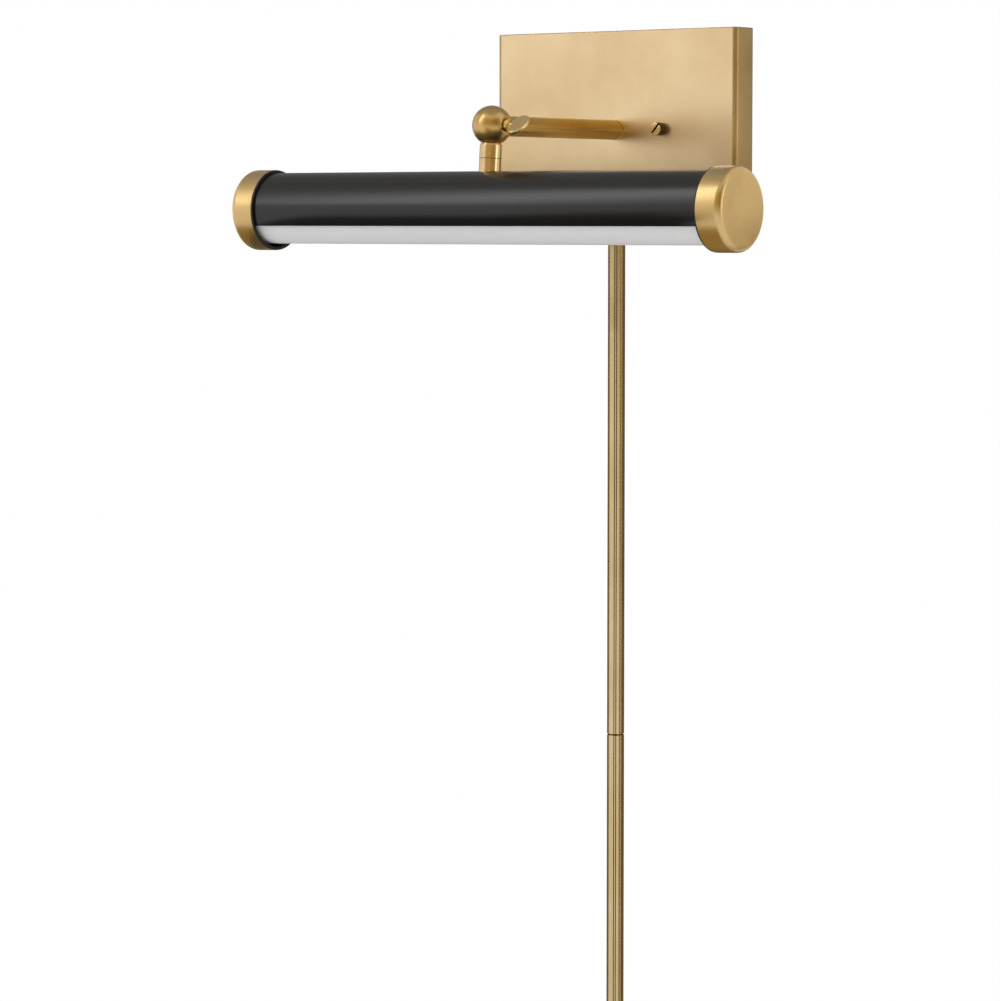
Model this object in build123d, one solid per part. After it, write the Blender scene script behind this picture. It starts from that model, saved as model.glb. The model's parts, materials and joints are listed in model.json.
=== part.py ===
from build123d import *
import os
from math import atan, cos, degrees, radians, sin, sqrt

# Plug-in wall accent lamp: a brass backplate carries a fixed arm, a ball knuckle with a turn key
# tilts a tubular head, and a two-piece cord cover runs down the wall.
# Millimetres. The wall is the plane Y = 0, the room lies towards -Y, and the arm's axis is Z = 0.

# Shared clearances
fit_gap = 0.05
running_gap = 0.08
moving_gap = 0.4
overrun = 4.0

# Backplate, a pressed box that is open to the wall
plate_width = 182.4
plate_height = 124.5
plate_depth = 18.8
plate_wall = 1.6
plate_round = 3.0
plate_edge_round = 0.7

# Crossbar on the wall box, with its two drawn and tapped collars
bar_end_margin = 6.55
bar_height = 20.0
bar_thickness = 2.0
bar_round = 4.0
bar_collar_diameter = 7.0
bar_collar_height = 2.6
box_slot_spacing = 88.9
box_slot_length = 10.0
box_slot_width = 4.8

# Canopy screws that hold the backplate to the crossbar
canopy_spacing = 69.85
canopy_shank_diameter = 4.0
canopy_head_diameter = 8.3
canopy_head_height = 6.1
canopy_head_chamfer = 0.6
canopy_slot_width = 1.4
canopy_slot_depth = 2.0
canopy_slot_angle = 48.0

# Ground screw on the crossbar
ground_screw_place = 17.0
ground_shank_diameter = 3.6
ground_head_diameter = 7.0
ground_head_height = 2.2
ground_slot_width = 1.0
ground_slot_depth = 1.1
ground_head_chamfer = 0.5

# Arm, a turned tube with a threaded tail through the backplate
arm_reach = 131.7
arm_diameter = 12.7
arm_bore = 7.6
arm_tail_diameter = 10.0
arm_tail_length = 8.0
arm_edge_round = 1.0
washer_diameter = 17.0
washer_thickness = 1.0
nut_across_flats = 15.0
nut_thickness = 4.0
nut_chamfer = 0.8
tail_bushing_sleeve = 3.0
tail_bushing_flange = 1.2
tail_bushing_bore = 5.0

# Knuckle: the ball and the flat tongue on the arm's end
ball_diameter = 24.2
tongue_thickness = 4.6
tongue_height = 8.0
tongue_eye_diameter = 10.4
tongue_plug_length = 14.0
pivot_diameter = 4.0
friction_washer_thickness = 0.6
friction_washer_diameter = 9.6
tilt_forward_limit = 45.0
tilt_back_limit = 25.0
tilt_margin = 2.0
rest_tilt = 5.0

# Turn key that clamps the knuckle
key_flat_diameter = 11.4
key_recess_diameter = 8.6
key_recess_depth = 1.2
key_shoulder_diameter = 7.6
key_shoulder_stand = 2.2
key_neck_diameter = 3.4
key_length = 13.2
key_width = 18.0
key_thickness = 2.6
key_round = 0.9
key_turn = 40.0
pivot_thread_depth = 5.2
pivot_end_room = 0.4

# Stem: neck collar, saddle, and the hollow nipple through both
head_drop = 51.0
neck_diameter = 13.5
neck_length = 10.3
neck_chamfer_width = 1.0
neck_chamfer_height = 2.0
saddle_diameter = 13.4
saddle_overlap = 3.0
nipple_diameter = 7.0
nipple_bore = 4.2
nipple_ball_depth = 2.2
nipple_tail = 7.6
stem_nut_across_flats = 11.0
stem_nut_thickness = 3.5
stem_nut_chamfer = 0.6

# Head tube: black shade over an opal diffuser
head_length = 364.3
shade_diameter = 46.6
shade_wall = 1.2
shade_wrap = 240.0
shade_lip_reach = 0.85
shade_lip_thickness = 1.2
diffuser_diameter = 42.0
diffuser_wall = 2.0
diffuser_wrap = 140.0

# End caps, drawn brass cups pushed on black end plates up to a flange
cap_diameter = 50.4
cap_length = 16.95
cap_wall = 0.6
cap_round = 4.0
cap_rim_chamfer = 0.3
end_plate_thickness = 6.0
end_flange_stand = 1.0
end_flange_step = 0.15
end_screw_diameter = 2.9
end_screw_length = 16.0
end_screw_head_diameter = 5.6
end_screw_head_height = 2.0
end_screw_slot_width = 0.8
end_screw_slot_depth = 0.9
end_screw_head_chamfer = 0.4

# Heat sink and light board inside the head tube
sink_web_thickness = 3.0
sink_web_drop = 3.0
sink_flange_thickness = 1.9
sink_flange_rise = 25.0
sink_boss_diameter = 6.0
sink_boss_spacing = 22.0
board_width = 12.0
board_thickness = 1.6
board_end_margin = 6.0
light_count = 24
light_size = 3.5
light_thickness = 0.8
lead_diameter = 2.4
lead_bend_radius = 5.0
lead_wall_distance = 4.7

# Driver inside the backplate
driver_length = 72.0
driver_height = 30.0
driver_depth = 13.0
driver_rise = 36.0
driver_round = 1.5
driver_pad_thickness = 1.0
driver_pad_margin = 3.0
driver_terminal_length = 9.0
driver_terminal_depth = 3.5
driver_terminal_margin = 4.0

# Cord cover: drawn tubes with two fine grooves, an inner joiner, an inlet bushing and a wall clip
cover_diameter = 11.0
cover_wall = 0.9
cover_length = 330.2
cover_groove_width = 0.6
cover_groove_depth = 0.45
cover_groove_spacing = 1.25
cover_groove_azimuth = 29.0
cover_offset = -2.8
cover_insert = 6.1
cover_joint_gap = 0.5
cover_end_chamfer = 0.35
joiner_length = 44.0
joiner_wall = 0.8
bushing_flange = 1.5
bushing_chamfer = 0.6
bushing_sleeve = 6.0
bushing_bore = 6.6
clip_height = 12.0
clip_wall = 1.2
clip_wrap = 230.0
clip_base_width = 9.0
clip_pad_thickness = 1.0
clip_rise = 24.0

# Places worked out from the sizes above
pivot_place = Pos(0, -(plate_depth + arm_reach), 0)
head_place = pivot_place * Rot(-rest_tilt, 0, 0)
tube_place = head_place * Pos(0, 0, -head_drop)
ball_radius = ball_diameter / 2
arm_radius = arm_diameter / 2
slot_width = tongue_thickness + 2 * (friction_washer_thickness + 2 * running_gap)
shade_radius = shade_diameter / 2
shade_inner = shade_radius - shade_wall
diffuser_radius = diffuser_diameter / 2
cap_inner = cap_diameter / 2 - cap_wall
cap_inner_round = cap_round - cap_wall
plate_face_inside = plate_depth - plate_wall
tube_half = head_length / 2 - cap_wall - end_plate_thickness
bar_length = box_slot_spacing + box_slot_length + 2 * bar_end_margin
cover_radius = cover_diameter / 2
cover_inner = cover_radius - cover_wall
cover_standoff = plate_face_inside - running_gap - cover_diameter
cover_axis = Pos(cover_offset, -(cover_standoff + cover_radius), 0)
cover_top = -plate_height / 2 + cover_insert
cover_joint = cover_top - cover_length
cover_bottom = cover_joint - cover_joint_gap - cover_length


def rod_x(radius, start, end):
    """A round bar along X from start to end."""
    return extrude(Plane.YZ.offset(start) * Circle(radius), end - start)


def rod_y(radius, start, end):
    """A round bar along Y from start to end."""
    return extrude(Plane.XZ.offset(-start) * Circle(radius), start - end)


def rod_z(radius, start, end):
    """A round bar along Z from start to end."""
    return extrude(Plane.XY.offset(start) * Circle(radius), end - start)


def ring_arc(inner, outer, start_angle, sweep):
    """A flat ring sector about the origin, in degrees from the first sketch axis."""
    path = CenterArc((0, 0), (inner + outer) / 2, start_angle, sweep)
    return trace(path, outer - inner)


def along_tube(profile, start, end):
    """A prism along X of a profile drawn in the plane of Y and Z."""
    return extrude(Plane.YZ.offset(start) * profile, end - start)


def hex_nut_y(across_flats, thickness, bore, chamfer_size, start):
    """A hexagon nut along Y whose outer corners are turned off at both ends."""
    corner = across_flats / sqrt(3)
    nut = extrude(Plane.XZ.offset(-start) * RegularPolygon(corner, 6), -thickness)
    blank = rod_y(corner, start, start + thickness)
    turned = chamfer(blank.edges().filter_by(GeomType.CIRCLE), chamfer_size)
    return (nut & turned) - rod_y(bore / 2, start - overrun, start + thickness + overrun)


def slotted_head(diameter, height, groove_width, groove_depth, edge_chamfer):
    """A cheese head that stands on Z = 0, with a straight driver slot along X."""
    head = rod_z(diameter / 2, 0, height)
    head = chamfer(head.edges().group_by(Axis.Z)[-1], edge_chamfer)
    groove = Box(diameter + overrun, groove_width, 2 * groove_depth)
    return head - Pos(0, 0, height) * groove


def backplate():
    outer = Pos(0, -plate_depth / 2, 0) * Box(plate_width, plate_depth, plate_height)
    outer = fillet(outer.faces().sort_by(Axis.Y)[0].edges().filter_by(Axis.Z), plate_round)
    for end in (0, -1):
        rim = outer.faces().sort_by(Axis.Z)[end].edges().sort_by(Axis.Y)
        outer = fillet(rim[:-1], plate_edge_round)
    hollow = Box(plate_width - 2 * plate_wall, 2 * plate_face_inside, plate_height - 2 * plate_wall)
    shell = outer - hollow
    shell -= rod_y(arm_tail_diameter / 2 + fit_gap, -plate_depth - overrun, 0)
    for side in (-1, 1):
        hole = rod_y(canopy_shank_diameter / 2 + running_gap, -plate_depth - overrun, 0)
        shell -= Pos(side * canopy_spacing / 2, 0, 0) * hole
    notch_radius = cover_radius + fit_gap
    notch_depth = cover_standoff + cover_radius
    notch = rod_z(notch_radius, -overrun, overrun) + Pos(0, notch_depth / 2, 0) * Box(
        2 * notch_radius, notch_depth, 2 * overrun
    )
    return shell - cover_axis * Pos(0, 0, -plate_height / 2) * notch


def crossbar():
    flat = Pos(0, -bar_thickness / 2, 0) * Box(bar_length, bar_thickness, bar_height)
    flat = fillet(flat.edges().filter_by(Axis.Y), bar_round)
    slot_outline = Plane.XZ * SlotOverall(box_slot_length, box_slot_width)
    slot = extrude(slot_outline, bar_thickness + overrun, both=True)
    collar_end = -bar_thickness - bar_collar_height
    collar = rod_y(bar_collar_diameter / 2, collar_end, -bar_thickness)
    tap = rod_y(canopy_shank_diameter / 2 + fit_gap, collar_end - overrun, overrun)
    for side in (-1, 1):
        screw_place = Pos(side * canopy_spacing / 2, 0, 0)
        flat += screw_place * collar
        flat -= screw_place * tap
        flat -= Pos(side * box_slot_spacing / 2, 0, 0) * slot
    ground_hole = rod_y(ground_shank_diameter / 2 + fit_gap, -bar_thickness - overrun, overrun)
    return flat - Pos(ground_screw_place, 0, 0) * ground_hole


def canopy_screws():
    head = slotted_head(
        canopy_head_diameter, canopy_head_height, canopy_slot_width, canopy_slot_depth, canopy_head_chamfer
    )
    shank = rod_z(canopy_shank_diameter / 2, fit_gap - plate_depth, 0)
    screw = Rot(90, 0, 0) * Rot(0, 0, canopy_slot_angle) * (head + shank)
    return [Pos(side * canopy_spacing / 2, -plate_depth, 0) * screw for side in (-1, 1)]


def ground_screw():
    head = slotted_head(
        ground_head_diameter, ground_head_height, ground_slot_width, ground_slot_depth, ground_head_chamfer
    )
    shank = rod_z(ground_shank_diameter / 2, fit_gap - bar_thickness, 0)
    return Pos(ground_screw_place, -bar_thickness, 0) * Rot(90, 0, 0) * (head + shank)


def arm():
    tube = rod_y(arm_radius, -(plate_depth + arm_reach), -plate_depth)
    tube = fillet(tube.edges().group_by(Axis.Y)[-1], arm_edge_round)
    tube += rod_y(arm_tail_diameter / 2, -plate_depth - arm_edge_round, arm_tail_length - plate_depth)
    tube -= rod_y(arm_bore / 2, -(plate_depth + arm_reach) - overrun, 0)
    return tube - pivot_place * Sphere(ball_radius + moving_gap)


def arm_washer():
    seat = -plate_face_inside
    disc = rod_y(washer_diameter / 2, seat, seat + washer_thickness)
    return disc - rod_y(arm_tail_diameter / 2 + fit_gap, seat - overrun, seat + overrun)


def arm_nut():
    seat = washer_thickness - plate_face_inside
    return hex_nut_y(nut_across_flats, nut_thickness, arm_tail_diameter + 2 * fit_gap, nut_chamfer, seat)


def tail_bushing():
    mouth = arm_tail_length - plate_depth
    sleeve = rod_y(arm_bore / 2 - fit_gap, mouth - tail_bushing_sleeve, mouth)
    flange = rod_y(arm_tail_diameter / 2, mouth, mouth + tail_bushing_flange)
    bore = rod_y(tail_bushing_bore / 2, mouth - tail_bushing_sleeve - overrun, mouth + overrun)
    return sleeve + flange - bore


def arm_tongue():
    eye = rod_x(tongue_eye_diameter / 2, -tongue_thickness / 2, tongue_thickness / 2)
    shoulder = ball_radius + moving_gap
    blade = Pos(0, shoulder / 2, 0) * Box(tongue_thickness, shoulder, tongue_height)
    plug_radius = arm_bore / 2 - fit_gap
    root = blade & rod_y(plug_radius, 0, shoulder)
    blade &= Sphere(shoulder - fit_gap)
    plug = rod_y(plug_radius, shoulder, shoulder + tongue_plug_length)
    tongue = eye + blade + root + plug
    tongue -= rod_x(pivot_diameter / 2 + running_gap, -tongue_thickness, tongue_thickness)
    lead_way = lead_diameter / 2 + fit_gap
    tongue -= rod_y(lead_way, shoulder + moving_gap, shoulder + tongue_plug_length + overrun)
    return pivot_place * tongue


def friction_washers():
    inner_face = tongue_thickness / 2 + running_gap
    ring = rod_x(friction_washer_diameter / 2, inner_face, inner_face + friction_washer_thickness)
    ring -= rod_x(pivot_diameter / 2 + running_gap, 0, slot_width)
    return [head_place * turn * ring for turn in (Rot(0, 0, 0), Rot(0, 0, 180))]


def tongue_slot():
    """The space that the tongue sweeps in the ball, drawn in the plane of Y and Z."""
    reach = ball_radius + overrun
    high = tilt_forward_limit + tilt_margin
    low = -(tilt_back_limit + tilt_margin)
    half_height = tongue_height / 2 + moving_gap
    area = Circle(tongue_eye_diameter / 2 + moving_gap)
    sector = make_face(
        [Line((0, 0), (reach * cos(radians(low)), reach * sin(radians(low))))]
        + [CenterArc((0, 0), reach, low, high - low)]
        + [Line((reach * cos(radians(high)), reach * sin(radians(high))), (0, 0))]
    )
    area += sector
    for angle in (low, high):
        area += Rot(0, 0, angle) * Pos(reach / 2, 0) * Rectangle(reach, 2 * half_height)
    return along_tube(area, -slot_width / 2, slot_width / 2)


def key_flat_place():
    """Distance from the ball's centre to the flat that the key seats on."""
    return sqrt(ball_radius**2 - (key_flat_diameter / 2) ** 2)


def knuckle_ball():
    flat = key_flat_place()
    blank = Box(ball_diameter, ball_diameter, ball_diameter)
    ball = Sphere(ball_radius) & Pos(flat - ball_radius, 0, 0) * blank
    ball -= Pos(0, 0, neck_seat() - ball_radius) * blank
    ball -= tongue_slot()
    ball -= rod_x(key_recess_diameter / 2, flat - key_recess_depth, flat + overrun)
    ball -= rod_x(pivot_diameter / 2 + running_gap, 0, flat + overrun)
    blind_end = slot_width / 2 + pivot_thread_depth + pivot_end_room
    ball -= rod_x(pivot_diameter / 2 + running_gap, -blind_end, 0)
    ball -= rod_z(nipple_diameter / 2 + fit_gap, -ball_diameter, nipple_top() + fit_gap)
    ball -= rod_z(nipple_bore / 2, -ball_diameter, 0)
    return head_place * ball


def neck_seat():
    """Height of the flat under the ball, as wide as the neck collar that it stands on."""
    return -sqrt(ball_radius**2 - (neck_diameter / 2) ** 2)


def nipple_top():
    """Height of the nipple's upper end below the ball's centre."""
    return neck_seat() + nipple_ball_depth


def neck_seam():
    """Height of the seam between the neck collar and the saddle."""
    return neck_seat() - neck_length


def neck_collar():
    outer = neck_diameter / 2
    inner = nipple_diameter / 2 + fit_gap
    top = neck_seat()
    outline = Polyline(
        (inner, top),
        (outer - neck_chamfer_width, top),
        (outer, top - neck_chamfer_height),
        (outer, neck_seam()),
        (inner, neck_seam()),
        close=True,
    )
    return head_place * revolve(Plane.XZ * make_face(outline), Axis.Z)


def shade_saddle():
    saddle = rod_z(saddle_diameter / 2, -head_drop + shade_radius - saddle_overlap, neck_seam())
    saddle -= Pos(0, 0, -head_drop) * rod_x(shade_radius + fit_gap, -saddle_diameter, saddle_diameter)
    saddle -= rod_z(nipple_diameter / 2 + fit_gap, -head_drop, 0)
    return head_place * saddle


def stem_nipple():
    bottom = -head_drop + shade_inner - nipple_tail
    nipple = rod_z(nipple_diameter / 2, bottom, nipple_top())
    return head_place * (nipple - rod_z(nipple_bore / 2, -head_drop, 0))


def stem_nut():
    corner = stem_nut_across_flats / sqrt(3)
    seat = -head_drop + sqrt(shade_inner**2 - corner**2) - fit_gap
    bore = nipple_diameter + 2 * fit_gap
    nut = hex_nut_y(stem_nut_across_flats, stem_nut_thickness, bore, stem_nut_chamfer, 0)
    return head_place * Pos(0, 0, seat) * Rot(-90, 0, 0) * nut


def shade_hole():
    """Hole through the shade's crown for the stem nipple, in the tube's own place."""
    return rod_z(nipple_diameter / 2 + fit_gap, 0, shade_diameter)


def shade():
    start = 90 - shade_wrap / 2
    profile = ring_arc(shade_inner, shade_radius, start, shade_wrap)
    lip_angle = degrees(atan(shade_lip_thickness / shade_inner))
    lip_inner = shade_inner - shade_lip_reach
    for first in (start, start + shade_wrap - lip_angle):
        profile += ring_arc(lip_inner, (shade_inner + shade_radius) / 2, first, lip_angle)
    return tube_place * (along_tube(profile, fit_gap - tube_half, tube_half - fit_gap) - shade_hole())


def diffuser():
    start = -90 - diffuser_wrap / 2
    profile = ring_arc(diffuser_radius - diffuser_wall, diffuser_radius, start, diffuser_wrap)
    return tube_place * along_tube(profile, fit_gap - tube_half, tube_half - fit_gap)


def heat_sink():
    outer = shade_inner - fit_gap
    inner = outer - sink_flange_thickness
    edge_gap = degrees(moving_gap / diffuser_radius)
    start = -90 + diffuser_wrap / 2 + edge_gap
    sweep = sink_flange_rise - start
    web_middle = -sink_web_drop + sink_web_thickness / 2
    web_half = sqrt(inner**2 - sink_web_drop**2) + sink_flange_thickness / 2
    profile = Pos(0, web_middle) * Rectangle(2 * web_half, sink_web_thickness)
    profile += ring_arc(inner, outer, start, sweep)
    profile += ring_arc(inner, outer, 180 - sink_flange_rise, sweep)
    boss_rise = boss_height()
    for side in (-1, 1):
        boss = Pos(side * sink_boss_spacing / 2, boss_rise)
        profile += boss * Circle(sink_boss_diameter / 2)
        profile -= boss * Circle(end_screw_diameter / 2 + fit_gap)
    sink = along_tube(profile, fit_gap - tube_half, tube_half - fit_gap)
    return tube_place * (sink - rod_z(lead_diameter / 2 + fit_gap, -shade_radius, shade_radius))


def boss_height():
    """Height of the screw channels, which stand on the heat sink's web."""
    return -sink_web_drop + sink_web_thickness + sink_boss_diameter / 2 - fit_gap


def light_board():
    half = tube_half - board_end_margin
    top = -sink_web_drop
    return tube_place * Pos(0, 0, top - board_thickness / 2) * Box(2 * half, board_width, board_thickness)


def lights():
    pitch = 2 * (tube_half - board_end_margin) / light_count
    top = -sink_web_drop - board_thickness
    chip = Pos(0, 0, top - light_thickness / 2) * Box(light_size, light_size, light_thickness)
    middle = (light_count - 1) / 2
    return [tube_place * Pos((index - middle) * pitch, 0, 0) * chip for index in range(light_count)]


def end_plate(side):
    outer_radius = cap_inner - fit_gap
    plate = rod_x(outer_radius, tube_half, tube_half + end_plate_thickness - fit_gap)
    plate = fillet(plate.edges().group_by(Axis.X)[-1], cap_inner_round)
    rim = head_length / 2 - cap_length
    lip = rod_x(outer_radius, rim - end_flange_stand, tube_half)
    lip += rod_x(cap_diameter / 2 - end_flange_step, rim - end_flange_stand, rim - fit_gap)
    plate += lip - rod_x(shade_radius + fit_gap, 0, tube_half)
    outside = tube_half + end_plate_thickness
    for across in (-1, 1):
        place = Pos(0, across * sink_boss_spacing / 2, boss_height())
        plate -= place * rod_x(end_screw_diameter / 2 + running_gap, tube_half - overrun, outside + overrun)
        seat = outside - end_screw_head_height - running_gap
        plate -= place * rod_x(end_screw_head_diameter / 2 + running_gap, seat, outside + overrun)
    return tube_place * face_side(side) * plate


def face_side(side):
    """Turns a piece of the right-hand end round the stem for the left-hand end."""
    return Rot(0, 0, 0 if side > 0 else 180)


def end_plate_screws():
    seat = tube_half + end_plate_thickness - end_screw_head_height - running_gap
    head = slotted_head(
        end_screw_head_diameter,
        end_screw_head_height,
        end_screw_slot_width,
        end_screw_slot_depth,
        end_screw_head_chamfer,
    )
    screw = Pos(seat, 0, 0) * Rot(0, 90, 0) * (head + rod_z(end_screw_diameter / 2, -end_screw_length, 0))
    places = [(side, across) for side in (-1, 1) for across in (-1, 1)]
    return [
        tube_place * face_side(side) * Pos(0, across * sink_boss_spacing / 2, boss_height()) * screw
        for side, across in places
    ]


def end_cap(side):
    outside = head_length / 2
    cup = rod_x(cap_diameter / 2, outside - cap_length, outside)
    cup = fillet(cup.edges().group_by(Axis.X)[-1], cap_round)
    cup = chamfer(cup.edges().group_by(Axis.X)[0], cap_rim_chamfer)
    room = rod_x(cap_inner, 0, outside - cap_wall)
    cup -= fillet(room.edges().group_by(Axis.X)[-1], cap_inner_round)
    return tube_place * face_side(side) * cup


def thumb_key():
    flat = key_flat_place()
    shoulder_end = flat + key_shoulder_stand
    shank_end = -(slot_width / 2 + pivot_thread_depth)
    shoulder = rod_x(key_shoulder_diameter / 2, flat - key_recess_depth + running_gap, shoulder_end)
    shoulder = fillet(shoulder.edges().group_by(Axis.X)[-1], key_round)
    neck = rod_x(key_neck_diameter / 2, shank_end + overrun, shoulder_end + key_thickness)
    shank = rod_x(pivot_diameter / 2, shank_end, flat)
    paddle = extrude(Ellipse(key_length / 2, key_width / 2), key_thickness / 2, both=True)
    paddle = fillet(paddle.edges(), key_round)
    paddle = Pos(shoulder_end + key_length / 2 - fit_gap, 0, 0) * Rot(key_turn, 0, 0) * paddle
    return head_place * (shoulder + neck + shank + paddle)


def driver():
    back = -plate_face_inside + driver_pad_thickness
    case = Pos(0, back + driver_depth / 2, driver_rise) * Box(driver_length, driver_depth, driver_height)
    case = fillet(case.edges().filter_by(Axis.Y), driver_round)
    window_height = driver_height - 2 * driver_terminal_margin
    window = Box(driver_terminal_length, 2 * driver_terminal_depth, window_height)
    place = driver_length / 2 - driver_terminal_margin - driver_terminal_length / 2
    for side in (-1, 1):
        case -= Pos(side * place, back + driver_depth, driver_rise) * window
    return case


def driver_pad():
    width = driver_length - 2 * driver_pad_margin
    height = driver_height - 2 * driver_pad_margin
    pad = Box(width, driver_pad_thickness, height)
    return Pos(0, driver_pad_thickness / 2 - plate_face_inside, driver_rise) * pad


def light_lead():
    """The low-voltage lead: out of the driver, round a bend and along the arm to the tongue."""
    top = driver_rise - driver_height / 2
    tip = -(plate_depth + arm_reach) + ball_radius + 2 * moving_gap
    start = (0, -lead_wall_distance, top)
    corner = (0, -lead_wall_distance, 0)
    route = FilletPolyline(start, corner, (0, tip, 0), radius=lead_bend_radius)
    section = Plane(start, z_dir=(0, 0, -1)) * Circle(lead_diameter / 2)
    return sweep(section, path=route)


def head_lead():
    """The lead's last stretch, down the hollow stem to the light board."""
    return head_place * rod_z(lead_diameter / 2, -head_drop - sink_web_drop, nipple_top())


def cord_cover(bottom):
    top = bottom + cover_length
    tube = rod_z(cover_radius, bottom, top)
    tube = chamfer(tube.edges().filter_by(GeomType.CIRCLE), cover_end_chamfer)
    tube -= rod_z(cover_inner, bottom - overrun, top + overrun)
    strip = Box(2 * cover_groove_depth, cover_groove_width, cover_length + overrun)
    facing = Rot(0, 0, cover_groove_azimuth - 90)
    for side in (-1, 1):
        tube -= facing * Pos(cover_radius, side * cover_groove_spacing / 2, (bottom + top) / 2) * strip
    return cover_axis * tube


def cover_joiner():
    middle = cover_joint - cover_joint_gap / 2
    bottom = middle - joiner_length / 2
    top = middle + joiner_length / 2
    outer = cover_inner - fit_gap
    sleeve = rod_z(outer, bottom, top) - rod_z(outer - joiner_wall, bottom - overrun, top + overrun)
    return cover_axis * sleeve


def cord_bushing():
    sleeve = rod_z(cover_inner - fit_gap, cover_top - bushing_sleeve, cover_top)
    flange = rod_z(cover_radius, cover_top, cover_top + bushing_flange)
    flange = chamfer(flange.edges().group_by(Axis.Z)[-1], bushing_chamfer)
    bore = rod_z(bushing_bore / 2, cover_top - bushing_sleeve - overrun, cover_top + overrun)
    return cover_axis * (sleeve + flange - bore)


def clip_middle():
    """Height of the wall clip's middle above the cover's lower end."""
    return cover_bottom + clip_rise


def cover_clip():
    inner = cover_radius + fit_gap
    claw = ring_arc(inner, inner + clip_wall, 90 - clip_wrap / 2, clip_wrap)
    wall_side = cover_standoff + cover_radius - clip_pad_thickness
    base = Pos(0, wall_side / 2) * Rectangle(clip_base_width, wall_side) - Circle(inner + clip_wall / 2)
    profile = claw + base
    return cover_axis * extrude(Plane.XY.offset(clip_middle() - clip_height / 2) * profile, clip_height)


def cover_clip_pad():
    pad = Box(clip_base_width, clip_pad_thickness, clip_height)
    return Pos(cover_offset, -clip_pad_thickness / 2, clip_middle()) * pad


nodes = {
    "backplate": backplate(),
    "crossbar": crossbar(),
    "canopy_screws": canopy_screws(),
    "ground_screw": ground_screw(),
    "arm": arm(),
    "arm_washer": arm_washer(),
    "arm_nut": arm_nut(),
    "tail_bushing": tail_bushing(),
    "arm_tongue": arm_tongue(),
    "driver": driver(),
    "driver_pad": driver_pad(),
    "light_lead": light_lead(),
    "cord_cover_upper": cord_cover(cover_joint),
    "cord_cover_lower": cord_cover(cover_bottom),
    "cover_joiner": cover_joiner(),
    "cord_bushing": cord_bushing(),
    "cover_clip": cover_clip(),
    "cover_clip_pad": cover_clip_pad(),
    "knuckle_ball": knuckle_ball(),
    "friction_washers": friction_washers(),
    "neck_collar": neck_collar(),
    "shade_saddle": shade_saddle(),
    "stem_nipple": stem_nipple(),
    "stem_nut": stem_nut(),
    "shade": shade(),
    "diffuser": diffuser(),
    "heat_sink": heat_sink(),
    "light_board": light_board(),
    "lights": lights(),
    "end_plate_left": end_plate(-1),
    "end_plate_right": end_plate(1),
    "end_plate_screws": end_plate_screws(),
    "end_cap_left": end_cap(-1),
    "end_cap_right": end_cap(1),
    "head_lead": head_lead(),
    "thumb_key": thumb_key(),
}

os.makedirs("parts", exist_ok=True)
for name, piece in nodes.items():
    group = piece if isinstance(piece, list) else [piece]
    solids = [solid for shape in group for solid in shape.solids()]
    export_step(Compound(children=solids) if len(solids) > 1 else solids[0], f"parts/{name}.step")
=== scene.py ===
import json
from math import asin, atan2, cos, degrees, hypot, pi, radians, sin

import bmesh
import bpy
from mathutils import Matrix, Vector


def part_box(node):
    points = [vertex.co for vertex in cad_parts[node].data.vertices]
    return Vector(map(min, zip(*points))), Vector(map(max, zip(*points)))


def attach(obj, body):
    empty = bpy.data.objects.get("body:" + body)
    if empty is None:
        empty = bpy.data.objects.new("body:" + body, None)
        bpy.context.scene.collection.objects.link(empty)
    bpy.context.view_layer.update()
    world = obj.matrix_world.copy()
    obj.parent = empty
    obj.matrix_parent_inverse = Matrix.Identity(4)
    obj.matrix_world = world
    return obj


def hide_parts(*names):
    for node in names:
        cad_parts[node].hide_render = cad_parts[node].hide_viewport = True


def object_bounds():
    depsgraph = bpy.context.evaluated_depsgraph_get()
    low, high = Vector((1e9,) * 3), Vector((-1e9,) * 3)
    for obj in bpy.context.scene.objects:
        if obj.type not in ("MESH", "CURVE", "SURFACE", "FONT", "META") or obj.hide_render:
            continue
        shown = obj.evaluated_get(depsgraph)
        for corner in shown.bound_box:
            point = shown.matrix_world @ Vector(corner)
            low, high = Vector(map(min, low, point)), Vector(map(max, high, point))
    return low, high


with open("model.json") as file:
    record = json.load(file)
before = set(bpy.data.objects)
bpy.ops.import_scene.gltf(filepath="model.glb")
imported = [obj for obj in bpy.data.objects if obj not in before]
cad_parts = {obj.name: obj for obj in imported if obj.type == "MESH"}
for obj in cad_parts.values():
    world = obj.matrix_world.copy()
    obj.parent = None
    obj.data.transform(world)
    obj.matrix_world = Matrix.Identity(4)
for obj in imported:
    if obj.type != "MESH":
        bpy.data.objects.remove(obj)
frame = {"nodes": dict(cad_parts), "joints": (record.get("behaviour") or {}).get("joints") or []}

cad_low, cad_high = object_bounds()
nodes = frame["nodes"]

# Backplate: a brass box, open to the wall, folded round its two front corners. Its satin front is coloured
# paler as a painted sheen, and its sides and rounded edges are the same brass coloured darker as painted
# shade. It carries the arm in its middle hole, and two canopy screws hold it to the strap behind.
plate_low, plate_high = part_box("backplate")
plate_round = 0.0030
plate_rim_round = 0.0007
plate_wall = 0.0016
hole_room = 0.00008
arm_tail_radius = 0.0050
screw_spacing = 0.06985
screw_shank_radius = 0.0020
same_place = 0.00001
flat_face = 0.995
smooth_angle = radians(32)


def take(piece):
    """Makes one piece the only selected and active one, in object mode."""
    if bpy.context.object is not None and bpy.context.object.mode != "OBJECT":
        bpy.ops.object.mode_set(mode="OBJECT")
    bpy.ops.object.select_all(action="DESELECT")
    piece.select_set(True)
    bpy.context.view_layer.objects.active = piece


def added(name):
    """Names the primitive that was just added and applies its size and place to its mesh."""
    piece = bpy.context.object
    piece.name = name
    take(piece)
    bpy.ops.object.transform_apply(location=True, rotation=True, scale=True)
    return piece


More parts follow.
